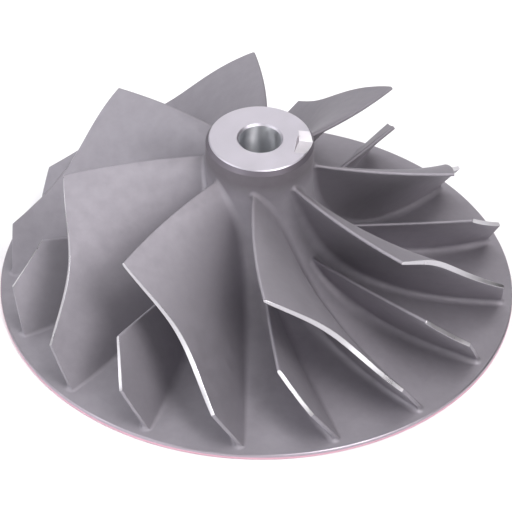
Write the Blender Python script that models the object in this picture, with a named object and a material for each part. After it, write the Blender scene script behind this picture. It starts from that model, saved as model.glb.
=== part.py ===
"""Turbocharger compressor wheel: one aluminium casting with full and splitter blades.

The wheel stands on its back face with the nose up. A hub is turned from one profile, sixteen
backswept blades are lofted between a hub curve and a shroud curve and fused to it, and the bore
and the balance cut in the nose are then cut out. Lengths are metres, angles are degrees.
"""

import math

import bmesh
import bpy
import numpy as np
from mathutils import Matrix, Vector

RIM_RADIUS = 0.050
RIM_THICKNESS = 0.00115
RIM_CHAMFER = 0.00015
NOSE_RADIUS = 0.0102
NOSE_HEIGHT = 0.0386
NOSE_CHAMFER = 0.00020
NOSE_TURNED_DEPTH = 0.0011
NOSE_CAST_RADIUS = 0.01065
BORE_RADIUS = 0.00415
BORE_CHAMFER = 0.00035

BACK_BOSS_RADIUS = 0.0125
BACK_RECESS_RADIUS = 0.0455
BACK_RECESS_DEPTH = 0.0004

# Meridional Bezier control points, radius and height.
HUB_CURVE = ((0.01065, 0.03280), (0.01065, 0.02750), (0.00700, 0.00560), (0.04776, 0.00115))
SHROUD_CURVE = ((0.03780, 0.02931), (0.03826, 0.02241), (0.03777, 0.01804), (0.04858, 0.00925))

# Wrap angles of the same control points, measured from a blade's leading tip.
HUB_WRAP = (-8.5, 33.5, 21.7, 40.6)
SHROUD_WRAP = (0.0, 19.5, 23.1, 33.2)

BLADE_COUNT = 8
FIRST_FULL_ANGLE = 272.6
FIRST_SPLITTER_ANGLE = 250.1
SPLITTER_HUB_START = 0.515
SPLITTER_SHROUD_START = 0.739

TIP_THICKNESS = 0.00110
ROOT_THICKNESS = 0.00200
EDGE_THICKNESS = 0.00058
ROOT_FILLET = 0.0018
ROOT_BURIED = 0.0006
FULL_STATIONS = 15
SPLITTER_STATIONS = 10
SPAN_SHARES = (0.34, 0.67, 1.0)

BALANCE_ANGLE = -8.6
BALANCE_INNER_RADIUS = 0.0073
BALANCE_LENGTH = 0.0066
BALANCE_DEPTH = 0.0010

HUB_SEGMENTS = 96
BORE_SEGMENTS = 48
HUB_CURVE_STEPS = 16


def clear_scene():
    """Remove every object that the file starts with."""
    for item in list(bpy.data.objects):
        bpy.data.objects.remove(item, do_unlink=True)


def bezier(controls, share):
    """Return the point of a cubic Bezier curve at a share of its length parameter."""
    rest = 1.0 - share
    weights = (rest**3, 3.0 * rest**2 * share, 3.0 * rest * share**2, share**3)
    return sum(weight * np.array(point, dtype=float) for weight, point in zip(weights, controls))


def cylindrical(radius, degrees, height):
    """Return the position at a radius, an angle round the axis and a height."""
    angle = math.radians(degrees)
    return np.array([radius * math.cos(angle), radius * math.sin(angle), height])


def new_object(name, bm):
    """Make a scene object from a bmesh and free the bmesh."""
    bmesh.ops.recalc_face_normals(bm, faces=bm.faces)
    mesh = bpy.data.meshes.new(name)
    bm.to_mesh(mesh)
    bm.free()
    item = bpy.data.objects.new(name, mesh)
    bpy.context.scene.collection.objects.link(item)
    return item


def hub_profile():
    """Return the outline of the hub, from the axis at the nose round to the axis at the back."""
    curve = [bezier(HUB_CURVE, step / HUB_CURVE_STEPS) for step in range(HUB_CURVE_STEPS + 1)]
    front = [
        (0.0, NOSE_HEIGHT),
        (NOSE_RADIUS - NOSE_CHAMFER, NOSE_HEIGHT),
        (NOSE_RADIUS, NOSE_HEIGHT - NOSE_CHAMFER),
        (NOSE_CAST_RADIUS, NOSE_HEIGHT - NOSE_TURNED_DEPTH),
        (NOSE_CAST_RADIUS, HUB_CURVE[0][1]),
    ]
    flare = [(float(radius), float(height)) for radius, height in curve[1:]]
    back = [
        (RIM_RADIUS - RIM_CHAMFER, RIM_THICKNESS),
        (RIM_RADIUS, RIM_THICKNESS - RIM_CHAMFER),
        (RIM_RADIUS, RIM_CHAMFER),
        (RIM_RADIUS - RIM_CHAMFER, 0.0),
        (BACK_RECESS_RADIUS, 0.0),
        (BACK_RECESS_RADIUS - BACK_RECESS_DEPTH, BACK_RECESS_DEPTH),
        (BACK_BOSS_RADIUS + BACK_RECESS_DEPTH, BACK_RECESS_DEPTH),
        (BACK_BOSS_RADIUS, 0.0),
        (0.0, 0.0),
    ]
    return front + flare + back


def turned(name, profile, segments):
    """Turn a closed profile that starts and ends on the axis into a solid."""
    bm = bmesh.new()
    verts = [bm.verts.new((radius, 0.0, height)) for radius, height in profile]
    edges = [bm.edges.new(pair) for pair in zip(verts, verts[1:])]
    bmesh.ops.spin(
        bm,
        geom=verts + edges,
        axis=(0.0, 0.0, 1.0),
        cent=(0.0, 0.0, 0.0),
        angle=math.tau,
        steps=segments,
        use_merge=True,
    )
    bmesh.ops.remove_doubles(bm, verts=bm.verts, dist=1e-7)
    return new_object(name, bm)


def camber_point(along_hub, along_shroud, span):
    """Return a point midway through a blade, at a share of its span from hub to shroud."""
    hub_radius, hub_height = bezier(HUB_CURVE, along_hub)
    tip_radius, tip_height = bezier(SHROUD_CURVE, along_shroud)
    hub_angle = float(bezier(HUB_WRAP, along_hub))
    tip_angle = float(bezier(SHROUD_WRAP, along_shroud))
    radius = hub_radius + (tip_radius - hub_radius) * span
    height = hub_height + (tip_height - hub_height) * span
    return cylindrical(radius, hub_angle + (tip_angle - hub_angle) * span, height)


def unit(vector):
    """Return a vector scaled to length one."""
    return vector / np.linalg.norm(vector)


def trace(along_hub, along_shroud, span):
    """Return the direction along a blade, from its leading edge, at a share of its span."""
    step = 0.01
    ahead = camber_point(min(along_hub + step, 1.0), min(along_shroud + step, 1.0), span)
    behind = camber_point(max(along_hub - step, 0.0), max(along_shroud - step, 0.0), span)
    return unit(ahead - behind)


def camber_normal(along_hub, along_shroud, span):
    """Return the unit normal of the blade's middle surface at a point."""
    outward = camber_point(along_hub, along_shroud, span + 0.01)
    inward = camber_point(along_hub, along_shroud, span - 0.01)
    return unit(np.cross(trace(along_hub, along_shroud, span), outward - inward))


def hub_normal(along_hub):
    """Return the unit normal of the hub's surface where a blade's middle surface meets it."""
    step = 0.005
    ahead = bezier(HUB_CURVE, min(along_hub + step, 1.0))
    behind = bezier(HUB_CURVE, max(along_hub - step, 0.0))
    radial, axial = unit(ahead - behind)
    degrees = float(bezier(HUB_WRAP, along_hub))
    return cylindrical(-axial, degrees, radial)


def side_step(along_hub, along_shroud, span):
    """Return the direction in which a blade is thickened, and its slant to the blade's normal.

    At the root it runs along the hub, so that the foot of the blade sits on the surface.
    Further out it turns square to the blade.
    """
    square = camber_normal(along_hub, along_shroud, max(span, 0.02))
    along = unit(np.cross(trace(along_hub, along_shroud, 0.0), hub_normal(along_hub)))
    if np.dot(along, square) < 0.0:
        along = -along
    blend = min(max(span / 0.4, 0.0), 1.0)
    direction = unit(along * (1.0 - blend) + square * blend)
    return direction, 1.0 / float(np.dot(direction, square))


def half_thickness(share, span):
    """Return half of a blade's thickness at a share of its length and of its span."""
    full = ROOT_THICKNESS + (TIP_THICKNESS - ROOT_THICKNESS) * min(span * 1.6, 1.0)
    bulge = math.sin(math.pi * share) ** 0.6
    return 0.5 * (EDGE_THICKNESS + (full - EDGE_THICKNESS) * bulge)


def span_rows(height):
    """Return span shares and added fillet widths from the buried root to the tip."""
    fillet = min(ROOT_FILLET, 0.4 * height)
    rows = [(-ROOT_BURIED / height, fillet), (0.0, fillet)]
    for turn in (30.0, 60.0, 90.0):
        rise = fillet * (1.0 - math.cos(math.radians(turn)))
        width = fillet * (1.0 - math.sin(math.radians(turn)))
        rows.append((rise / height, width))
    start = rows[-1][0]
    rows += [(start + (1.0 - start) * share, 0.0) for share in SPAN_SHARES]
    return rows


def blade_rings(hub_start, shroud_start, stations):
    """Return the closed ring of points round a blade at every station along it."""
    rings = []
    for index in range(stations):
        share = 0.5 - 0.5 * math.cos(math.pi * index / (stations - 1))
        along_hub = hub_start + (1.0 - hub_start) * share
        along_shroud = shroud_start + (1.0 - shroud_start) * share
        root = camber_point(along_hub, along_shroud, 0.0)
        tip = camber_point(along_hub, along_shroud, 1.0)
        left, right = [], []
        for span, fillet in span_rows(float(np.linalg.norm(tip - root))):
            centre = camber_point(along_hub, along_shroud, span)
            direction, slant = side_step(along_hub, along_shroud, span)
            offset = direction * (half_thickness(share, max(span, 0.0)) * slant + fillet)
            left.append(centre + offset)
            right.append(centre - offset)
        rings.append(left + right[::-1])
    return rings


def add_blade(bm, rings, degrees):
    """Skin a blade's rings into a closed solid, turned round the axis."""
    turn = Matrix.Rotation(math.radians(degrees), 4, "Z")
    rows = [[bm.verts.new(turn @ Vector(point)) for point in ring] for ring in rings]
    for row, following in zip(rows, rows[1:]):
        count = len(row)
        for index in range(count):
            after = (index + 1) % count
            bm.faces.new((row[index], row[after], following[after], following[index]))
    for row in (rows[0], rows[-1]):
        half = len(row) // 2
        for index in range(half - 1):
            mirror = len(row) - 1 - index
            bm.faces.new((row[index], row[index + 1], row[mirror - 1], row[mirror]))


def blade_set(name, rings, first_angle):
    """Return one object that holds a set of like blades, each a closed solid."""
    bm = bmesh.new()
    for index in range(BLADE_COUNT):
        add_blade(bm, rings, first_angle + 360.0 / BLADE_COUNT * index)
    return new_object(name, bm)


def bore_profile():
    """Return the outline of the plug that cuts the bore and its two chamfers."""
    past = 0.002
    return [
        (0.0, NOSE_HEIGHT + past),
        (BORE_RADIUS + BORE_CHAMFER + past, NOSE_HEIGHT + past),
        (BORE_RADIUS, NOSE_HEIGHT - BORE_CHAMFER),
        (BORE_RADIUS, BORE_CHAMFER),
        (BORE_RADIUS + BORE_CHAMFER + past, -past),
        (0.0, -past),
    ]


def balance_cutter():
    """Return the block that mills the balance flat into the rim of the nose."""
    bm = bmesh.new()
    bmesh.ops.create_cube(bm, size=1.0)
    width = 0.006
    bmesh.ops.scale(bm, vec=(width, BALANCE_LENGTH, 2.0 * BALANCE_DEPTH), verts=bm.verts)
    bmesh.ops.translate(bm, vec=(BALANCE_INNER_RADIUS + width / 2.0, 0.0, NOSE_HEIGHT), verts=bm.verts)
    turn = Matrix.Rotation(math.radians(BALANCE_ANGLE), 3, "Z")
    bmesh.ops.rotate(bm, cent=(0.0, 0.0, 0.0), matrix=turn, verts=bm.verts)
    return new_object("balance_cutter", bm)


def combine(target, tool, operation):
    """Add a Boolean modifier to the target and hide the tool from the render."""
    modifier = target.modifiers.new(f"{operation.lower()}_{tool.name}", "BOOLEAN")
    modifier.operation = operation
    modifier.solver = "EXACT"
    modifier.object = tool
    tool.hide_render = True
    tool.display_type = "WIRE"


def build_wheel():
    """Build the wheel as one fused casting."""
    wheel = turned("wheel_casting", hub_profile(), HUB_SEGMENTS)
    full = blade_rings(0.0, 0.0, FULL_STATIONS)
    splitter = blade_rings(SPLITTER_HUB_START, SPLITTER_SHROUD_START, SPLITTER_STATIONS)
    combine(wheel, blade_set("full_blades", full, FIRST_FULL_ANGLE), "UNION")
    combine(wheel, blade_set("splitter_blades", splitter, FIRST_SPLITTER_ANGLE), "UNION")
    combine(wheel, turned("bore_cutter", bore_profile(), BORE_SEGMENTS), "DIFFERENCE")
    combine(wheel, balance_cutter(), "DIFFERENCE")
    return wheel


clear_scene()
build_wheel()
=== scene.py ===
"""Looks of a turbocharger compressor wheel: one aluminium casting, bright where it is machined.

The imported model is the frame. The hub, the full blades and the splitter blades are modelled again
as smooth skins that run into each other with root fillets, and stand for the cast solid. Lengths
are metres and angles are degrees, in the frame's own axes: +Z runs along the bore to the nose.
"""

import logging
import math
from dataclasses import dataclass, field
from enum import Enum, IntEnum
from functools import cached_property, lru_cache

import bmesh
import bpy
from mathutils import Matrix, Vector

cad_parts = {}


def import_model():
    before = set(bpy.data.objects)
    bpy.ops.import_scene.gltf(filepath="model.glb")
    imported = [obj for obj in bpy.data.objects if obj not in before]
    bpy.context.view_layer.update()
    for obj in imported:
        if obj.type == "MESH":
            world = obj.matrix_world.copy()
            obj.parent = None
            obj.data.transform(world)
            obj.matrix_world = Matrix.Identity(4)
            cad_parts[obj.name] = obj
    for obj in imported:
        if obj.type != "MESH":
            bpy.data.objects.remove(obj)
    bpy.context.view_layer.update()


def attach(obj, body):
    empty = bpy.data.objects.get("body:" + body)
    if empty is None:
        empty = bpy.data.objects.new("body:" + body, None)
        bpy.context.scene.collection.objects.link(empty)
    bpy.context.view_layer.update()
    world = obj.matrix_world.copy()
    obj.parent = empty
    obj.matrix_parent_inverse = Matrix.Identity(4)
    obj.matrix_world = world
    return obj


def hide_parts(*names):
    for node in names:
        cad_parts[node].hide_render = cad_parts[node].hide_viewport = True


LOG = logging.getLogger("compressor_wheel")
CASTING_NODE = "wheel_casting"
SHARP_ANGLE = 32.0
ORIGIN = (0.0, 0.0, 0.0)
BORE_AXIS = (0.0, 0.0, 1.0)

Colour = tuple[float, float, float]
Socket = bpy.types.NodeSocket
Finishes = list[bpy.types.Material]


class Surface(IntEnum):
    """The ways in which the surface of the wheel is finished, as material slots of a piece."""

    CAST = 0
    NOSE = 1
    # The turned side of the nose, whose dark colour is painted shade.
    BAND = 2
    BORE = 3
    CUT = 4
    TIP = 5
    RIM = 6
    BACK = 7


@dataclass(frozen=True)
class Bezier:
    """A cubic Bezier curve whose controls are points or pairs of numbers."""

    controls: tuple[tuple[float, ...], ...]

    def at(self, share: float) -> Vector:
        """Return the curve's value.

        Args:
            share: Place along the curve, from 0 to 1.

        Returns:
            The interpolated value, with as many parts as each control has.
        """
        rest = 1.0 - share
        weights = (rest**3, 3.0 * rest**2 * share, 3.0 * rest * share**2, share**3)
        return Vector([
            sum(weight * point[part] for weight, point in zip(weights, self.controls))
            for part in range(len(self.controls[0]))
        ])


@dataclass(frozen=True)
class WheelForm:
    """The sizes that the hub and the blades share.

    The two curves hold radius and height, from the leading edge of the full blades to the trailing
    edge. The wraps hold the blades' angle round the bore along them, beside a zero, since a vector
    has at least two parts. slope_reach is the short length over which a slope is measured.
    """

    rim_radius: float = 0.050
    rim_thickness: float = 0.00115
    rim_chamfer: float = 0.00015
    nose_radius: float = 0.00995
    nose_height: float = 0.0386
    nose_chamfer: float = 0.00020
    nose_turned_depth: float = 0.0011
    nose_cast_radius: float = 0.0105
    bore_radius: float = 0.00415
    bore_chamfer: float = 0.00035
    back_boss_radius: float = 0.0125
    back_recess_radius: float = 0.0455
    back_recess_depth: float = 0.0004
    hub_curve: Bezier = Bezier((
        (0.01050, 0.03280),
        (0.01050, 0.02750),
        (0.00700, 0.00560),
        (0.04776, 0.00115),
    ))
    shroud_curve: Bezier = Bezier((
        (0.03780, 0.02931),
        (0.03826, 0.02241),
        (0.03777, 0.01804),
        (0.04858, 0.00925),
    ))
    hub_wrap: Bezier = Bezier(((-7.6, 0.0), (18.6, 0.0), (34.2, 0.0), (39.9, 0.0)))
    shroud_wrap: Bezier = Bezier(((0.0, 0.0), (19.5, 0.0), (23.1, 0.0), (33.2, 0.0)))
    blade_count: int = 8
    table_steps: int = 400
    slope_reach: float = 0.00001

    @cached_property
    def hub_lengths(self) -> list[tuple[float, float, float]]:
        """Measure the hub curve.

        Returns:
            The length run, the radius and the height at even steps of the curve's parameter.
        """
        table = []
        run = 0.0
        before = self.hub_curve.at(0.0)
        for step in range(self.table_steps + 1):
            here = self.hub_curve.at(step / self.table_steps)
            run += (here - before).length
            table.append((run, here.x, here.y))
            before = here
        return table

    def hub_run(self, share: float) -> float:
        """Find the length run along the hub curve.

        Args:
            share: Share of the curve's parameter.

        Returns:
            The length from the leading edge of the full blades.
        """
        table = self.hub_lengths
        place = min(max(share, 0.0), 1.0) * (len(table) - 1)
        index = min(int(place), len(table) - 2)
        part = place - index
        return table[index][0] * (1.0 - part) + table[index + 1][0] * part

    def hub_outline(self, run: float) -> tuple[float, float]:
        """Find the hub's radius and height at a length along it.

        Args:
            run: Length from the full blades' leading edge, below zero up the nose.

        Returns:
            Radius and height, on the nose or the flat rim past the ends of the curve.
        """
        table = self.hub_lengths
        if run <= 0.0:
            return table[0][1], table[0][2] - run
        if run >= table[-1][0]:
            return table[-1][1] + run - table[-1][0], table[-1][2]
        low, high = 0, len(table) - 1
        while high - low > 1:
            middle = (low + high) // 2
            if table[middle][0] <= run:
                low = middle
            else:
                high = middle
        part = (run - table[low][0]) / (table[high][0] - table[low][0])
        radius = table[low][1] * (1.0 - part) + table[high][1] * part
        height = table[low][2] * (1.0 - part) + table[high][2] * part
        return radius, height

    def on_hub(self, run: float, degrees: float, depth: float = 0.0) -> Vector:
        """Find a point of the hub.

        Args:
            run: Length along the hub from the full blades' leading edge.
            degrees: Angle round the bore.
            depth: Depth under the hub's surface.

        Returns:
            The point on or under the hub.
        """
        radius, height = self.hub_outline(run)
        near_radius, near_height = self.hub_outline(run + self.slope_reach)
        slope = Vector((near_radius - radius, near_height - height)).normalized()
        radius += slope.y * depth
        height -= slope.x * depth
        return cylindrical(radius, degrees, height)


def cylindrical(radius: float, degrees: float, height: float) -> Vector:
    """Return the point at a radius, an angle round the bore and a height."""
    angle = math.radians(degrees)
    return Vector((radius * math.cos(angle), radius * math.sin(angle), height))


@dataclass(frozen=True)
class Stop:
    """One place on the outline of a blade's section.

    side and ahead give the offset from the middle surface in half thicknesses, across the blade
    and towards its leading edge. turn is the direction in which the fillet spreads there, from
    straight across (90) to straight ahead (0).
    """

    share: float
    side: float
    ahead: float
    turn: float


@dataclass(frozen=True)
class BladeForm:
    """The form of one blade, lofted between the hub curve and the shroud curve.

    Shares of the length run from the leading edge to the trailing edge, and shares of the span
    from the hub to the tip. The root swells towards the hub and spreads over it in a fillet, and
    the skin goes on under the hub's surface, where it closes on the blade's centre line.
    """

    wheel: WheelForm
    first_angle: float
    hub_start: float = 0.0
    shroud_start: float = 0.0

    # The section: its stops round the outline and its thickness.
    stations: int = 38
    nose_stops: int = 9
    tail_stops: int = 5
    tail_roundness: float = 0.12
    tip_thickness: float = 0.00110
    root_thickness: float = 0.00370
    edge_thickness: float = 0.00070
    bulge_power: float = 0.6
    lateness: float = 1.25
    swell_power: float = 0.8

    # The root fillet, the buried skirt under it and the chamfer of the tip.
    nose_fillet: float = 0.0009
    widest_fillet: float = 0.0019
    tail_fillet: float = 0.0008
    narrowest_corner: float = 50.0
    widest_corner: float = 140.0
    buried_depth: float = 0.00030
    buried_share: float = 0.9
    tip_chamfer: float = 0.00006

    # The rows of the skin. Two lie buried before the fillet starts, at foot_row.
    foot_row: int = 2
    fillet_rows: int = 8
    wall_rows: int = 16
    tip_rows: int = 3

    # The wall is set off along the hub at its foot, and square to the blade above upright_span.
    upright_span: float = 0.4
    lowest_span: float = 0.02
    least_lean: float = 0.3

    # Short steps over which directions are measured.
    direction_step: float = 0.008
    trace_step: float = 0.004
    hub_probe: float = 0.0002
    wall_probe: tuple[float, float] = (0.01, 0.06)
    foot_probe: float = 0.98
    head_probe: float = 0.01

    @cached_property
    def outline(self) -> list[Stop]:
        """List the stops round a section.

        Returns:
            The stops from the tail along one side, round the nose and back, the first one twice.
        """
        steps = self.stations - 1
        shares = [0.5 - 0.5 * math.cos(math.pi * step / steps) for step in range(self.stations)]
        stops = [Stop(share, -1.0, 0.0, -90.0) for share in reversed(shares[1:])]
        for step in range(self.nose_stops):
            turn = -90.0 + 180.0 * step / (self.nose_stops - 1)
            angle = math.radians(turn)
            stops.append(Stop(0.0, math.sin(angle), math.cos(angle), turn))
        stops += [Stop(share, 1.0, 0.0, 90.0) for share in shares[1:]]
        for step in range(1, self.tail_stops + 1):
            turn = 90.0 + 180.0 * step / (self.tail_stops + 1)
            side = 1.0 - 2.0 * step / (self.tail_stops + 1)
            stops.append(Stop(1.0, side, self.tail_roundness * math.cos(math.radians(turn)), turn))
        stops.append(stops[0])
        return stops

    @property
    def wall_row(self) -> int:
        """Return the row at the head of the fillet, where the bare wall starts."""
        return self.foot_row + self.fillet_rows

    @property
    def tip_row(self) -> int:
        """Return the first row of the machined tip."""
        return self.wall_row + self.wall_rows

    @property
    def rows(self) -> int:
        """Count the rows of the skin from its buried centre line to the centre line of the tip."""
        return self.tip_row + self.tip_rows

    def middle(self, share: float, span: float) -> Vector:
        """Find a point of the blade's middle surface.

        Args:
            share: Share of the blade's length.
            span: Share of its span.

        Returns:
            The point on the straight line between the hub curve and the shroud curve.
        """
        along_hub = self.hub_start + (1.0 - self.hub_start) * share
        along_shroud = self.shroud_start + (1.0 - self.shroud_start) * share
        root = self.wheel.hub_curve.at(along_hub)
        tip = self.wheel.shroud_curve.at(along_shroud)
        root_angle = self.wheel.hub_wrap.at(along_hub).x
        tip_angle = self.wheel.shroud_wrap.at(along_shroud).x
        place = root.lerp(tip, span)
        return cylindrical(place.x, root_angle + (tip_angle - root_angle) * span, place.y)

    @lru_cache(maxsize=None)
    def axes(self, share: float, span: float) -> tuple[Vector, Vector, Vector]:
        """Find the directions along, across and up the blade.

        Args:
            share: Share of the blade's length.
            span: Share of its span.

        Returns:
            Unit vectors towards the tail, out of the upper side and towards the tip.
        """
        step = self.direction_step
        before, behind = max(share - step, 0.0), min(share + step, 1.0)
        along = self.middle(behind, span) - self.middle(before, span)
        up = self.middle(share, span + step) - self.middle(share, span - step)
        along.normalize()
        up.normalize()
        return along, up.cross(along).normalized(), up

    @lru_cache(maxsize=None)
    def trace(self, share: float) -> tuple[float, float, float, float]:
        """Find where the blade's middle surface meets the hub and which way it runs there.

        Args:
            share: Share of the blade's length.

        Returns:
            Length run and angle on the hub, then the unit direction along the blade in parts
            down the hub and round it.
        """
        step = self.trace_step
        runs, angles = [], []
        for near in (share, min(share + step, 1.0), max(share - step, 0.0)):
            along_hub = self.hub_start + (1.0 - self.hub_start) * near
            runs.append(self.wheel.hub_run(along_hub))
            angles.append(self.wheel.hub_wrap.at(along_hub).x)
        radius, _ = self.wheel.hub_outline(runs[0])
        turned = math.radians(angles[1] - angles[2])
        way = Vector((runs[1] - runs[2], radius * turned)).normalized()
        return runs[0], angles[0], way.x, way.y

    def swell(self, share: float) -> float:
        """Return how far the root is swollen at a share of the length, most behind the middle."""
        return max(math.sin(math.pi * share**self.lateness), 0.0) ** self.swell_power

    def half_thickness(self, share: float, span: float) -> float:
        """Find half of the blade's thickness.

        Args:
            share: Share of the blade's length.
            span: Share of its span.

        Returns:
            The distance from the middle surface to the wall.
        """
        bulge = max(math.sin(math.pi * share), 0.0) ** self.bulge_power
        plain = self.edge_thickness + (self.tip_thickness - self.edge_thickness) * bulge
        swollen = (self.root_thickness - self.tip_thickness) * (1.0 - span) ** 2 * self.swell(share)
        return 0.5 * (plain + swollen)

    def fillet_radius(self, share: float) -> float:
        """Return the root fillet's radius at a share of the length, tighter at both ends."""
        edge = self.nose_fillet + (self.tail_fillet - self.nose_fillet) * share
        return edge + (self.widest_fillet - edge) * self.swell(share)

    @lru_cache(maxsize=None)
    def fillet_reach(self, stop: Stop) -> tuple[float, float]:
        """Fit the root fillet between the hub and the wall, as a rolling ball would.

        Args:
            stop: Place on the blade's outline.

        Returns:
            Length of the fillet along the hub and the wall, then the pull of its Bezier handles.
        """
        over_hub = self.on_root(stop, self.hub_probe) - self.on_root(stop, 0.0)
        low, high = self.wall_probe
        up_wall = self.on_wall(stop, high) - self.on_wall(stop, low)
        least, most = math.radians(self.narrowest_corner), math.radians(self.widest_corner)
        corner = min(max(over_hub.angle(up_wall), least), most)
        radius = self.fillet_radius(stop.share)
        setback = radius / math.tan(corner / 2.0)
        pull = 4.0 / 3.0 * math.tan((math.pi - corner) / 4.0) * radius
        return setback, pull

    def height(self, share: float) -> float:
        """Return the blade's height over the hub at a share of its length."""
        return (self.middle(share, 1.0) - self.middle(share, 0.0)).length

    def across_hub(self, share: float) -> Vector:
        """Find the direction along the hub that is square to the blade.

        Args:
            share: Share of the blade's length.

        Returns:
            Unit vector out of the blade's upper side.
        """
        run, degrees, down, around = self.trace(share)
        here = self.wheel.on_hub(run, degrees)
        radius, _ = self.wheel.hub_outline(run)
        reach = self.wheel.slope_reach
        turned = math.degrees(down * reach / radius)
        there = self.wheel.on_hub(run - around * reach, degrees + turned)
        return (there - here).normalized()

    def on_root(self, stop: Stop, spread: float, depth: float = 0.0) -> Vector:
        """Find a point of the hub beside the blade.

        Args:
            stop: Place on the blade's outline.
            spread: Distance out from the foot of the bare wall.
            depth: Depth under the hub's surface.

        Returns:
            The point on or under the hub.
        """
        run, degrees, down, around = self.trace(stop.share)
        radius, _ = self.wheel.hub_outline(run)
        _, square, _ = self.axes(stop.share, self.lowest_span)
        slant = 1.0 / max(self.across_hub(stop.share).dot(square), self.least_lean)
        half = self.half_thickness(stop.share, 0.0)
        angle = math.radians(stop.turn)
        side = stop.side * half * slant + math.sin(angle) * spread
        ahead = stop.ahead * half + math.cos(angle) * spread
        moved_down = -around * side - down * ahead
        turned = math.degrees((down * side - around * ahead) / radius)
        return self.wheel.on_hub(run + moved_down, degrees + turned, depth)

    def on_wall(self, stop: Stop, span: float, inset: float = 0.0) -> Vector:
        """Find a point of the blade's wall.

        Args:
            stop: Place on the blade's outline.
            span: Share of the blade's span.
            inset: Distance that the wall is drawn in towards the middle surface.

        Returns:
            The point on the wall.
        """
        along, square, _ = self.axes(stop.share, max(span, self.lowest_span))
        blend = min(max(span / self.upright_span, 0.0), 1.0)
        across = self.across_hub(stop.share).lerp(square, blend).normalized()
        half = self.half_thickness(stop.share, span) - inset
        reach = stop.side * half / max(across.dot(square), self.least_lean)
        offset = across * reach - along * (stop.ahead * half)
        return self.middle(stop.share, span) + offset

    def on_fillet(self, stop: Stop, part: float) -> Vector:
        """Find a point of the root fillet.

        Args:
            stop: Place on the blade's outline.
            part: Share of the way up the fillet, from the hub to the wall.

        Returns:
            The point on the fillet, tangent to the hub at one end and to the wall at the other.
        """
        setback, pull = self.fillet_reach(stop)
        top = setback / self.height(stop.share)
        foot = self.on_root(stop, setback)
        over_hub = (self.on_root(stop, setback * self.foot_probe) - foot).normalized()
        head = self.on_wall(stop, top)
        down_wall = (self.on_wall(stop, top - self.head_probe) - head).normalized()
        points = (foot, foot + over_hub * pull, head + down_wall * pull, head)
        return Bezier(tuple(tuple(point) for point in points)).at(part)

    def skin_point(self, column: int, row: int) -> Vector:
        """Find where a vertex of the flat grid goes.

        Args:
            column: Place round the outline.
            row: Place from the buried centre line up to the centre line of the tip.

        Returns:
            The vertex's place on the first blade, before that is turned to its angle.
        """
        stop = self.outline[column]
        setback, _ = self.fillet_reach(stop)
        if row == 0:
            run, degrees, _, _ = self.trace(stop.share)
            return self.wheel.on_hub(run, degrees, self.buried_depth)
        if row < self.foot_row:
            return self.on_root(stop, setback * self.buried_share, self.buried_depth)
        if row <= self.wall_row:
            return self.on_fillet(stop, (row - self.foot_row) / self.fillet_rows)
        if row <= self.tip_row:
            height = self.height(stop.share)
            start, end = setback / height, 1.0 - self.tip_chamfer / height
            share = (row - self.wall_row) / self.wall_rows
            return self.on_wall(stop, start + (end - start) * share)
        if row == self.tip_row + 1:
            return self.on_wall(stop, 1.0, self.tip_chamfer)
        return self.middle(stop.share, 1.0)


@dataclass
class BladeRing:
    """A ring of like blades, each a closed skin that runs into the hub."""

    name: str
    form: BladeForm
    weld_distance: float = 0.000001

    def build(self, finishes: Finishes) -> bpy.types.Object:
        """Model one blade from a flat grid, then spin copies of it round the bore.

        Args:
            finishes: Materials in the order of the Surface names.

        Returns:
            The finished ring of blades.
        """
        columns, rows = len(self.form.outline), self.form.rows
        bm = bmesh.new()
        bmesh.ops.create_grid(bm, x_segments=columns - 1, y_segments=rows - 1, size=1.0)
        places = {}
        for vert in bm.verts:
            column = round((vert.co.x + 1.0) / 2.0 * (columns - 1))
            row = round((vert.co.y + 1.0) / 2.0 * (rows - 1))
            places[vert] = (column, row)
        for face in bm.faces:
            on_tip = min(places[vert][1] for vert in face.verts) >= self.form.tip_row
            face.material_index = Surface.TIP if on_tip else Surface.CAST
        for vert, (column, row) in places.items():
            vert.co = self.form.skin_point(column, row)
        bmesh.ops.remove_doubles(bm, verts=bm.verts, dist=self.weld_distance)
        bmesh.ops.recalc_face_normals(bm, faces=bm.faces)
        turn = Matrix.Rotation(math.radians(self.form.first_angle), 3, "Z")
        bmesh.ops.rotate(bm, cent=ORIGIN, matrix=turn, verts=bm.verts)
        count = self.form.wheel.blade_count
        bmesh.ops.spin(
            bm,
            geom=bm.verts[:] + bm.edges[:] + bm.faces[:],
            cent=ORIGIN,
            axis=BORE_AXIS,
            angle=math.tau * (count - 1) / count,
            steps=count - 1,
            use_duplicate=True,
        )
        return finished_piece(self.name, bm, finishes)


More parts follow.
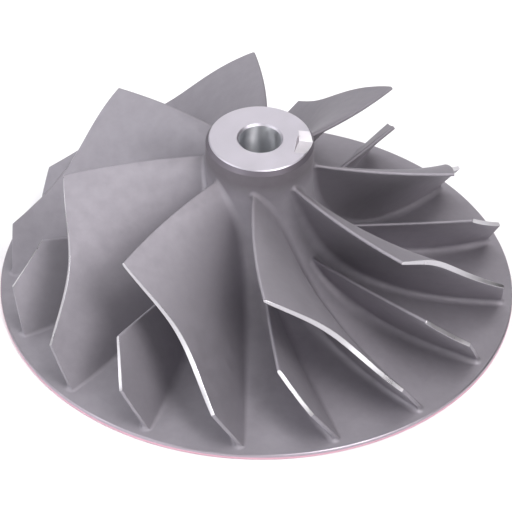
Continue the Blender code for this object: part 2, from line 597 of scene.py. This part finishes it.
@dataclass
class Hub:
    """The hub with its nose, passage floor, back disc, bore and balance cut.

    The balance cut is milled into the edge of the nose face. Two facets fall to a ridge across
    it, and its inner side leans by balance_slant. What lies past balance_end_share of its length
    belongs to its ends. tolerance tells one turned surface from the next.
    """

    wheel: WheelForm
    segments: int = 256
    curve_steps: int = 72
    balance_angle: float = -6.1
    balance_inner_radius: float = 0.00705
    balance_width: float = 0.006
    balance_length: float = 0.0068
    balance_depth: float = 0.00055
    balance_slant: float = 0.00045
    balance_ridge: float = 0.00090
    balance_end_share: float = 0.4
    weld_distance: float = 0.0000001
    tolerance: float = 0.00001

    def profile(self) -> list[tuple[float, float]]:
        """List the corners of the turned section.

        Returns:
            Radius and height of each, from the bore's mouth out and round to it again.
        """
        w = self.wheel
        corners = [
            (w.bore_radius + w.bore_chamfer, w.nose_height),
            (w.nose_radius - w.nose_chamfer, w.nose_height),
            (w.nose_radius, w.nose_height - w.nose_chamfer),
            (w.nose_cast_radius, w.nose_height - w.nose_turned_depth),
        ]
        steps = self.curve_steps
        corners += [tuple(w.hub_curve.at(step / steps)) for step in range(steps + 1)]
        corners += [
            (w.rim_radius - w.rim_chamfer, w.rim_thickness),
            (w.rim_radius, w.rim_thickness - w.rim_chamfer),
            (w.rim_radius, w.rim_chamfer),
            (w.rim_radius - w.rim_chamfer, 0.0),
            (w.back_recess_radius, 0.0),
            (w.back_recess_radius - w.back_recess_depth, w.back_recess_depth),
            (w.back_boss_radius + w.back_recess_depth, w.back_recess_depth),
            (w.back_boss_radius, 0.0),
            (w.bore_radius + w.bore_chamfer, 0.0),
            (w.bore_radius, w.bore_chamfer),
            (w.bore_radius, w.nose_height - w.bore_chamfer),
        ]
        return corners

    def surface_at(self, centre: Vector) -> Surface:
        """Tell how the hub is finished at a place.

        Args:
            centre: Centre of a face of the turned blank.

        Returns:
            The finish of that face.
        """
        w = self.wheel
        radius = math.hypot(centre.x, centre.y)
        if radius < w.bore_radius + self.tolerance:
            return Surface.BORE
        if centre.z > w.nose_height - w.nose_chamfer - self.tolerance:
            return Surface.NOSE
        if centre.z > w.nose_height - w.nose_turned_depth:
            return Surface.BAND
        if radius > w.rim_radius - w.rim_chamfer and centre.z > self.tolerance:
            return Surface.RIM
        if centre.z < w.back_recess_depth + self.tolerance:
            return Surface.BACK
        return Surface.CAST

    def balance_block(self, finishes: Finishes) -> bpy.types.Object:
        """Model the block whose shape is milled out of the nose's rim.

        Args:
            finishes: Materials in the order of the Surface names.

        Returns:
            A block whose floor falls from both ends to a ridge, beside a leaning inner side.
        """
        bm = bmesh.new()
        bmesh.ops.create_cube(bm, size=1.0)
        size = (self.balance_width, self.balance_length, 2.0 * self.balance_depth)
        bmesh.ops.scale(bm, vec=size, verts=bm.verts)
        bmesh.ops.bisect_plane(
            bm,
            geom=bm.verts[:] + bm.edges[:] + bm.faces[:],
            plane_co=(0.0, self.balance_ridge, 0.0),
            plane_no=(0.0, 1.0, 0.0),
        )
        end = self.balance_end_share * self.balance_length
        floor = [vert for vert in bm.verts if vert.co.z < 0.0]
        ends = [vert for vert in floor if abs(vert.co.y) > end]
        inner_ridge = [vert for vert in bm.verts if vert.co.x < 0.0 and abs(vert.co.y) < end]
        bmesh.ops.translate(bm, vec=(0.0, 0.0, self.balance_depth), verts=ends)
        for vert in inner_ridge:
            lean = self.balance_slant if vert in floor else -self.balance_slant
            bmesh.ops.translate(bm, vec=(lean, 0.0, 0.0), verts=[vert])
        middle = self.balance_inner_radius + self.balance_width / 2.0
        bmesh.ops.translate(bm, vec=(middle, 0.0, self.wheel.nose_height), verts=bm.verts)
        turn = Matrix.Rotation(math.radians(self.balance_angle), 3, "Z")
        bmesh.ops.rotate(bm, cent=ORIGIN, matrix=turn, verts=bm.verts)
        for face in bm.faces:
            face.material_index = Surface.CUT
        return new_object("balance_block", bm, finishes)

    def build(self, finishes: Finishes) -> bpy.types.Object:
        """Turn the hub from its profile and mill the balance cut.

        Args:
            finishes: Materials in the order of the Surface names.

        Returns:
            The finished hub.
        """
        bm = bmesh.new()
        verts = [bm.verts.new((radius, 0.0, height)) for radius, height in self.profile()]
        edges = [bm.edges.new(pair) for pair in zip(verts, verts[1:] + verts[:1])]
        bmesh.ops.spin(
            bm,
            geom=verts + edges,
            cent=ORIGIN,
            axis=BORE_AXIS,
            angle=math.tau,
            steps=self.segments,
            use_merge=True,
        )
        bmesh.ops.remove_doubles(bm, verts=bm.verts, dist=self.weld_distance)
        bmesh.ops.recalc_face_normals(bm, faces=bm.faces)
        for face in bm.faces:
            face.material_index = self.surface_at(face.calc_center_median())
        blank = new_object("hub_blank", bm, finishes)
        block = self.balance_block(finishes)
        milled = blank.modifiers.new("balance_cut", "BOOLEAN")
        milled.operation = "DIFFERENCE"
        milled.solver = "EXACT"
        milled.object = block
        graph = bpy.context.evaluated_depsgraph_get()
        mesh = bpy.data.meshes.new_from_object(blank.evaluated_get(graph))
        cut = bmesh.new()
        cut.from_mesh(mesh)
        for used in (blank, block):
            bpy.data.objects.remove(used, do_unlink=True)
        return finished_piece("wheel_hub", cut, finishes)


def new_object(name: str, bm: bmesh.types.BMesh, finishes: Finishes) -> bpy.types.Object:
    """Make an object in the scene.

    Args:
        name: Name of the object.
        bm: Its mesh, which is freed.
        finishes: Materials for its slots.

    Returns:
        The object.
    """
    mesh = bpy.data.meshes.new(name)
    for material in finishes:
        mesh.materials.append(material)
    bm.to_mesh(mesh)
    bm.free()
    item = bpy.data.objects.new(name, mesh)
    bpy.context.scene.collection.objects.link(item)
    return item


def finished_piece(name: str, bm: bmesh.types.BMesh, finishes: Finishes) -> bpy.types.Object:
    """Shade a modelled piece and tie it to the frame.

    Args:
        name: Name of the piece.
        bm: Its mesh, which is freed.
        finishes: Materials in the order of the Surface names.

    Returns:
        The piece, riding on the root body and standing for the casting.
    """
    limit = math.radians(SHARP_ANGLE)
    for face in bm.faces:
        face.smooth = True
    for edge in bm.edges:
        finish = {face.material_index for face in edge.link_faces}
        blended = len(finish) == 1 and Surface.CUT not in finish
        edge.smooth = blended and edge.is_manifold and edge.calc_face_angle(0.0) < limit
    piece = new_object(name, bm, finishes)
    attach(piece, "root")
    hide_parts(CASTING_NODE)
    return piece


@dataclass
class NodeBoard:
    """A new material's node tree, with short ways to add and join nodes."""

    name: str
    metallic: float = 1.0
    material: bpy.types.Material = field(init=False)
    shader: bpy.types.Node = field(init=False)

    def __post_init__(self) -> None:
        """Make the material, with one shader joined to the output."""
        self.material = bpy.data.materials.new(self.name)
        self.material.use_nodes = True
        tree = self.material.node_tree
        tree.nodes.clear()
        output = tree.nodes.new("ShaderNodeOutputMaterial")
        self.shader = tree.nodes.new("ShaderNodeBsdfPrincipled")
        self.set("Metallic", self.metallic)
        tree.links.new(self.shader.outputs["BSDF"], output.inputs["Surface"])

    def add(self, kind: str, **values: object) -> bpy.types.Node:
        """Add a node.

        Args:
            kind: Kind of the node.
            **values: Attributes to set on it.

        Returns:
            The node.
        """
        node = self.material.node_tree.nodes.new(kind)
        for name, value in values.items():
            setattr(node, name, value)
        return node

    def join(self, start: Socket, end: Socket) -> None:
        """Link an output to an input."""
        self.material.node_tree.links.new(start, end)

    def feed(self, name: str, source: Socket) -> None:
        """Link an output to a named input of the shader."""
        self.join(source, self.shader.inputs[name])

    def set(self, name: str, value: float | tuple[float, ...]) -> None:
        """Set a uniform value on a named input of the shader."""
        self.shader.inputs[name].default_value = value

    def place(self) -> Socket:
        """Return the object coordinates of the piece."""
        return self.add("ShaderNodeTexCoord").outputs["Object"]

    def noise(self, scale: float, detail: float = 2.0) -> Socket:
        """Add a noise pattern.

        Args:
            scale: Grains to the metre.
            detail: Octaves of finer noise.

        Returns:
            The pattern's strength.
        """
        pattern = self.add("ShaderNodeTexNoise")
        pattern.inputs["Scale"].default_value = scale
        pattern.inputs["Detail"].default_value = detail
        self.join(self.place(), pattern.inputs["Vector"])
        return pattern.outputs["Fac"]

    def ranged(self, source: Socket, start: float, end: float) -> bpy.types.Node:
        """Add a node that maps a range of a source on to another range.

        Args:
            source: Value to map.
            start: Start of the range that is read.
            end: End of the range that is read.

        Returns:
            The node, which gives 0 to 1 unless it is told otherwise.
        """
        node = self.add("ShaderNodeMapRange")
        node.inputs["From Min"].default_value = start
        node.inputs["From Max"].default_value = end
        self.join(source, node.inputs["Value"])
        return node

    def spread(self, pattern: Socket, low: float = 0.0, high: float = 1.0) -> Socket:
        """Map the range that a noise pattern mostly keeps to on to two values.

        Args:
            pattern: Strength of the pattern.
            low: Value where the pattern is weak.
            high: Value where it is strong.

        Returns:
            The mapped value.
        """
        weak, strong = 0.3, 0.7
        node = self.ranged(pattern, weak, strong)
        node.inputs["To Min"].default_value = low
        node.inputs["To Max"].default_value = high
        return node.outputs["Result"]

    def rise(self, start: float, end: float) -> Socket:
        """Tell how far a place lies up the piece.

        Args:
            start: Height at which the share is 0.
            end: Height at which it is 1.

        Returns:
            The share.
        """
        parts = self.add("ShaderNodeSeparateXYZ")
        self.join(self.place(), parts.inputs["Vector"])
        return self.ranged(parts.outputs["Z"], start, end).outputs["Result"]

    def tint(self, share: Socket, low: Colour | Socket, high: Colour) -> Socket:
        """Blend between two colours.

        Args:
            share: Share of the second colour.
            low: First colour, or the output that gives it.
            high: Second colour.

        Returns:
            The blended colour.
        """
        mix = self.add("ShaderNodeMix", data_type="RGBA")
        if isinstance(low, Socket):
            self.join(low, mix.inputs["A"])
        else:
            mix.inputs["A"].default_value = (*low, 1.0)
        mix.inputs["B"].default_value = (*high, 1.0)
        self.join(share, mix.inputs["Factor"])
        return mix.outputs["Result"]

    def bump(self, pattern: Socket, height: float, under: Socket | None = None) -> Socket:
        """Raise a pattern as relief.

        Args:
            pattern: Pattern that gives the height.
            height: Height of the relief in metres.
            under: Normal of a relief that this one lies on.

        Returns:
            The normal of the surface.
        """
        relief = self.add("ShaderNodeBump")
        relief.inputs["Distance"].default_value = height
        self.join(pattern, relief.inputs["Height"])
        if under is not None:
            self.join(under, relief.inputs["Normal"])
        return relief.outputs["Normal"]

    def brush(self, amount: float) -> None:
        """Stretch the highlights across the fine grooves that run round the bore.

        Args:
            amount: Strength of the stretch, from 0 to 1.
        """
        around = self.add("ShaderNodeVectorMath", operation="CROSS_PRODUCT")
        around.inputs[0].default_value = BORE_AXIS
        self.join(self.place(), around.inputs[1])
        self.feed("Tangent", around.outputs["Vector"])
        quarter_turn = 0.25
        self.set("Anisotropic", amount)
        self.set("Anisotropic Rotation", quarter_turn)


@dataclass(frozen=True)
class CastFinish:
    """Blasted cast aluminium: matt grey, finely grained, a little uneven in tone.

    Up the neck, under the turned nose, the skin is painted darker: painted shade for the dark that
    the side of the nose reflects.
    """

    dark: Colour = (0.3515, 0.3345, 0.3655)
    light: Colour = (0.3605, 0.3435, 0.3745)
    # Painted shade up the neck: its colour and the heights over which it comes in.
    neck_painted_shade: Colour = (0.222, 0.205, 0.225)
    neck_shade_start: float = 0.0310
    neck_shade_end: float = 0.0350
    smooth: float = 0.68
    rough: float = 0.76
    cloud_scale: float = 90.0
    cloud_detail: float = 3.0
    ripple_scale: float = 420.0
    ripple_height: float = 0.000008
    grain_scale: float = 2600.0
    grain_height: float = 0.000010

    def build(self) -> bpy.types.Material:
        """Make the finish.

        Returns:
            The material.
        """
        board = NodeBoard("cast_aluminium")
        cloud = board.noise(self.cloud_scale, self.cloud_detail)
        toned = board.tint(board.spread(cloud), self.dark, self.light)
        # Painted shade: the colour turns darker up the neck of the nose.
        rise = board.rise(self.neck_shade_start, self.neck_shade_end)
        board.feed("Base Color", board.tint(rise, toned, self.neck_painted_shade))
        ripple = board.noise(self.ripple_scale)
        board.feed("Roughness", board.spread(ripple, self.smooth, self.rough))
        soft = board.bump(ripple, self.ripple_height)
        grain = board.noise(self.grain_scale)
        board.feed("Normal", board.bump(grain, self.grain_height, soft))
        return board.material


@dataclass(frozen=True)
class Unevenness:
    """How far a machined surface strays from an even one."""

    cloud_scale: float = 260.0
    roughness_share: float = 0.15
    height: float = 0.000002

    def dress(self, board: NodeBoard, roughness: float) -> tuple[Socket, Socket]:
        """Make a surface uneven in roughness.

        Args:
            board: Node tree of the surface's material.
            roughness: Roughness that the surface has on average.

        Returns:
            The pattern of the unevenness, then the normal of its relief.
        """
        cloud = board.noise(self.cloud_scale)
        less, more = 1.0 - self.roughness_share, 1.0 + self.roughness_share
        board.feed("Roughness", board.spread(cloud, roughness * less, roughness * more))
        return cloud, board.bump(cloud, self.height)


@dataclass(frozen=True)
class TurnedFinish:
    """Aluminium turned bright on a lathe, with fine rings round the bore."""

    name: str
    colour: Colour
    roughness: float
    brushed: float = 0.0
    shade: float = 0.94
    rings: float = 2600.0
    ring_height: float = 0.00000015
    ring_distortion: float = 0.4
    unevenness: Unevenness = Unevenness()

    def build(self) -> bpy.types.Material:
        """Make the finish.

        Returns:
            The material.
        """
        board = NodeBoard(self.name)
        cloud, relief = self.unevenness.dress(board, self.roughness)
        shaded = tuple(self.shade * part for part in self.colour)
        board.feed("Base Color", board.tint(board.spread(cloud), shaded, self.colour))
        if self.rings > 0.0:
            rings = board.add("ShaderNodeTexWave", wave_type="RINGS", rings_direction="Z")
            rings.inputs["Scale"].default_value = self.rings
            rings.inputs["Distortion"].default_value = self.ring_distortion
            board.join(board.place(), rings.inputs["Vector"])
            relief = board.bump(rings.outputs["Fac"], self.ring_height, relief)
            board.brush(self.brushed)
        board.feed("Normal", relief)
        return board.material


@dataclass(frozen=True)
class RimFinish:
    """The turned edge of the back disc: pale lilac above, with a rosy lower edge."""

    upper: Colour = (0.40, 0.365, 0.41)
    lower: Colour = (0.74, 0.44, 0.53)
    change_height: float = 0.00050
    change_depth: float = 0.00035
    roughness: float = 0.42
    unevenness: Unevenness = Unevenness()

    def build(self) -> bpy.types.Material:
        """Make the finish.

        Returns:
            The material.
        """
        board = NodeBoard("turned_rim")
        start = self.change_height - self.change_depth / 2.0
        end = self.change_height + self.change_depth / 2.0
        board.feed("Base Color", board.tint(board.rise(start, end), self.lower, self.upper))
        _, relief = self.unevenness.dress(board, self.roughness)
        board.feed("Normal", relief)
        return board.material


@dataclass(frozen=True)
class FloorFinish:
    """A plain pale floor, which glows a little so that shadows stay soft."""

    colour: Colour = (0.80, 0.80, 0.81)
    shade: float = 0.985
    cloud_scale: float = 3.0
    cloud_detail: float = 1.0
    roughness: float = 0.9
    specular: float = 0.1
    glow: float = 0.09

    def build(self) -> bpy.types.Material:
        """Make the finish.

        Returns:
            The material.
        """
        board = NodeBoard("pale_floor", metallic=0.0)
        cloud = board.noise(self.cloud_scale, self.cloud_detail)
        shaded = tuple(self.shade * part for part in self.colour)
        board.feed("Base Color", board.tint(cloud, shaded, self.colour))
        board.set("Roughness", self.roughness)
        board.set("Specular IOR Level", self.specular)
        board.set("Emission Color", (1.0, 1.0, 1.0, 1.0))
        board.set("Emission Strength", self.glow)
        return board.material


class Tint(Enum):
    """The slight tints of the lamps, cool on the wheel's left and warm on its right."""

    COOL = (0.975, 0.978, 1.0)
    WARM = (1.0, 0.975, 0.985)
    PLAIN = (1.0, 1.0, 1.0)


@dataclass(frozen=True)
class Lamp:
    """A square soft panel of light, aimed at the wheel.

    Its azimuth runs anticlockwise from +X, seen from above, and its power is in watts.
    """

    azimuth: float
    elevation: float
    power: float
    tint: Tint = Tint.PLAIN
    side: float = 0.35
    distance: float = 1.2

    def build(self) -> None:
        """Place the panel."""
        name = f"panel_{self.azimuth:.0f}_{self.elevation:.0f}"
        data = bpy.data.lights.new(name, "AREA")
        data.size = self.side
        data.energy = self.power
        data.color = self.tint.value
        lamp = bpy.data.objects.new(name, data)
        rise = math.radians(self.elevation)
        flat, height = self.distance * math.cos(rise), self.distance * math.sin(rise)
        lamp.location = cylindrical(flat, self.azimuth, height)
        lamp.rotation_euler = (-lamp.location).to_track_quat("-Z", "Y").to_euler()
        lamp.visible_camera = False
        bpy.context.scene.collection.objects.link(lamp)


@dataclass
class Studio:
    """The floor, the light and the camera round the wheel.

    The floor lies a hair under the wheel. The camera stands in front of it, on the side of -Y.
    """

    lamps: tuple[Lamp, ...] = (
        Lamp(170.0, 6.0, 1.55, Tint.COOL),
        Lamp(210.0, 6.0, 1.20, Tint.COOL),
        Lamp(230.0, 6.0, 4.31, Tint.COOL),
        Lamp(290.0, 6.0, 0.70),
        Lamp(350.0, 6.0, 0.50, Tint.WARM),
        Lamp(286.0, 14.0, 1.10),
        Lamp(90.0, 20.0, 0.25),
        Lamp(250.0, 20.0, 1.24),
        Lamp(190.0, 36.0, 0.90, Tint.COOL),
        Lamp(210.0, 36.0, 3.11, Tint.COOL, side=0.70),
        Lamp(310.0, 36.0, 1.87, Tint.WARM),
        Lamp(330.0, 36.0, 1.33, Tint.WARM, side=0.70),
        Lamp(55.0, 42.0, 0.95, Tint.WARM),
        Lamp(90.0, 42.0, 0.74),
        Lamp(120.0, 42.0, 1.50, Tint.COOL),
        Lamp(145.0, 42.0, 2.20, Tint.COOL),
        Lamp(170.0, 52.0, 0.43, Tint.COOL),
        Lamp(310.0, 52.0, 3.73, Tint.WARM),
        Lamp(330.0, 52.0, 1.13, Tint.WARM),
        Lamp(50.0, 64.0, 1.46, Tint.WARM),
        Lamp(130.0, 64.0, 1.02, Tint.COOL),
        Lamp(10.0, 70.0, 1.19, Tint.WARM),
        Lamp(250.0, 70.0, 0.64),
        Lamp(310.0, 70.0, 2.04, Tint.WARM),
        Lamp(340.0, 70.0, 1.18, Tint.WARM),
        Lamp(90.0, 88.0, 2.15),
    )
    floor_reach: float = 6.0
    floor_drop: float = 0.00005
    floor_parts: int = 4
    camera_back: float = 1.31890
    camera_height: float = 1.11135
    camera_pitch: float = 39.8896
    camera_yaw: float = -0.011
    camera_roll: float = 1.330
    focal_pixels: float = 8820.8
    picture_pixels: float = 512.0
    sensor_width: float = 36.0
    nearest: float = 0.05
    farthest: float = 50.0

    def build_floor(self) -> None:
        """Lay the pale floor under the wheel."""
        bm = bmesh.new()
        parts = self.floor_parts
        bmesh.ops.create_grid(bm, x_segments=parts, y_segments=parts, size=self.floor_reach)
        bmesh.ops.translate(bm, vec=(0.0, 0.0, -self.floor_drop), verts=bm.verts)
        floor = new_object("floor", bm, [FloorFinish().build()])

    def build_light(self) -> None:
        """Put out the sky, so that the soft panels alone light the wheel, and place them."""
        world = bpy.data.worlds.new("studio")
        world.use_nodes = True
        world.node_tree.nodes["Background"].inputs["Strength"].default_value = 0.0
        bpy.context.scene.world = world
        bpy.context.scene.view_settings.view_transform = "Standard"
        for lamp in self.lamps:
            lamp.build()

    def build_camera(self) -> None:
        """Place the camera at the photograph's angle of view."""
        pitch = math.radians(self.camera_pitch)
        yaw = math.radians(self.camera_yaw)
        roll = math.radians(self.camera_roll)
        level_part = math.cos(pitch)
        forward = Vector((math.sin(yaw) * level_part, math.cos(yaw) * level_part, -math.sin(pitch)))
        level = forward.cross(Vector(BORE_AXIS)).normalized()
        upright = level.cross(forward)
        right = level * math.cos(roll) + upright * math.sin(roll)
        up = upright * math.cos(roll) - level * math.sin(roll)
        data = bpy.data.cameras.new("camera")
        data.sensor_width = self.sensor_width
        data.lens = self.sensor_width * self.focal_pixels / self.picture_pixels
        data.clip_start, data.clip_end = self.nearest, self.farthest
        camera = bpy.data.objects.new("camera", data)
        place = Matrix.Translation((0.0, -self.camera_back, self.camera_height))
        camera.matrix_world = place @ Matrix((right, up, -forward)).transposed().to_4x4()
        bpy.context.scene.collection.objects.link(camera)
        bpy.context.scene.camera = camera


@dataclass
class CompressorWheel:
    """The whole wheel: its hub and its two rings of blades.

    The splitter blades start part of the way down the passage between two full blades, and are
    thinner.
    """

    form: WheelForm = field(default_factory=WheelForm)
    full_angle: float = 272.6
    splitter_angle: float = 250.1
    splitter_hub_start: float = 0.515
    splitter_shroud_start: float = 0.739
    splitter_stations: int = 26
    splitter_tip_thickness: float = 0.00085
    splitter_root_thickness: float = 0.00180
    splitter_bulge_power: float = 0.35

    def finishes(self) -> Finishes:
        """Make every finish of the wheel.

        Returns:
            Materials in the order of the Surface names.
        """
        made = {
            Surface.CAST: CastFinish(),
            Surface.NOSE: TurnedFinish("turned_nose", (0.625, 0.595, 0.655), 0.46, brushed=0.2),
            # The turned side of the nose is far darker than its face: painted shade for the dark it
            # reflects.
            Surface.BAND: TurnedFinish("turned_band_painted_shade", (0.172, 0.156, 0.18), 0.55),
            Surface.BORE: TurnedFinish("reamed_bore", (0.80, 0.81, 0.84), 0.40, brushed=0.9),
            Surface.CUT: TurnedFinish("milled_cut", (0.90, 0.86, 0.91), 0.40),
            Surface.TIP: TurnedFinish("turned_tip", (0.56, 0.545, 0.57), 0.30, rings=0.0),
            Surface.RIM: RimFinish(),
            Surface.BACK: TurnedFinish("turned_back", (0.60, 0.59, 0.61), 0.35, brushed=0.5),
        }
        return [made[surface].build() for surface in Surface]

    def build(self) -> list[bpy.types.Object]:
        """Build and dress every piece.

        Returns:
            The pieces of the wheel.
        """
        full = BladeForm(self.form, self.full_angle)
        splitter = BladeForm(
            self.form,
            self.splitter_angle,
            hub_start=self.splitter_hub_start,
            shroud_start=self.splitter_shroud_start,
            stations=self.splitter_stations,
            tip_thickness=self.splitter_tip_thickness,
            root_thickness=self.splitter_root_thickness,
            bulge_power=self.splitter_bulge_power,
        )
        finishes = self.finishes()
        return [
            Hub(self.form).build(finishes),
            BladeRing("full_blades", full).build(finishes),
            BladeRing("splitter_blades", splitter).build(finishes),
        ]


def main() -> None:
    """Load the frame, build the wheel and the studio, and note the sizes."""
    logging.basicConfig(level=logging.INFO, format="%(name)s: %(message)s")
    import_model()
    for piece in CompressorWheel().build():
        LOG.info("built %s with %d faces", piece.name, len(piece.data.polygons))
    studio = Studio()
    studio.build_floor()
    studio.build_light()
    studio.build_camera()
    LOG.info("set up the floor, %d soft panels and the camera", len(studio.lamps))


if __name__ == "__main__":
    main()
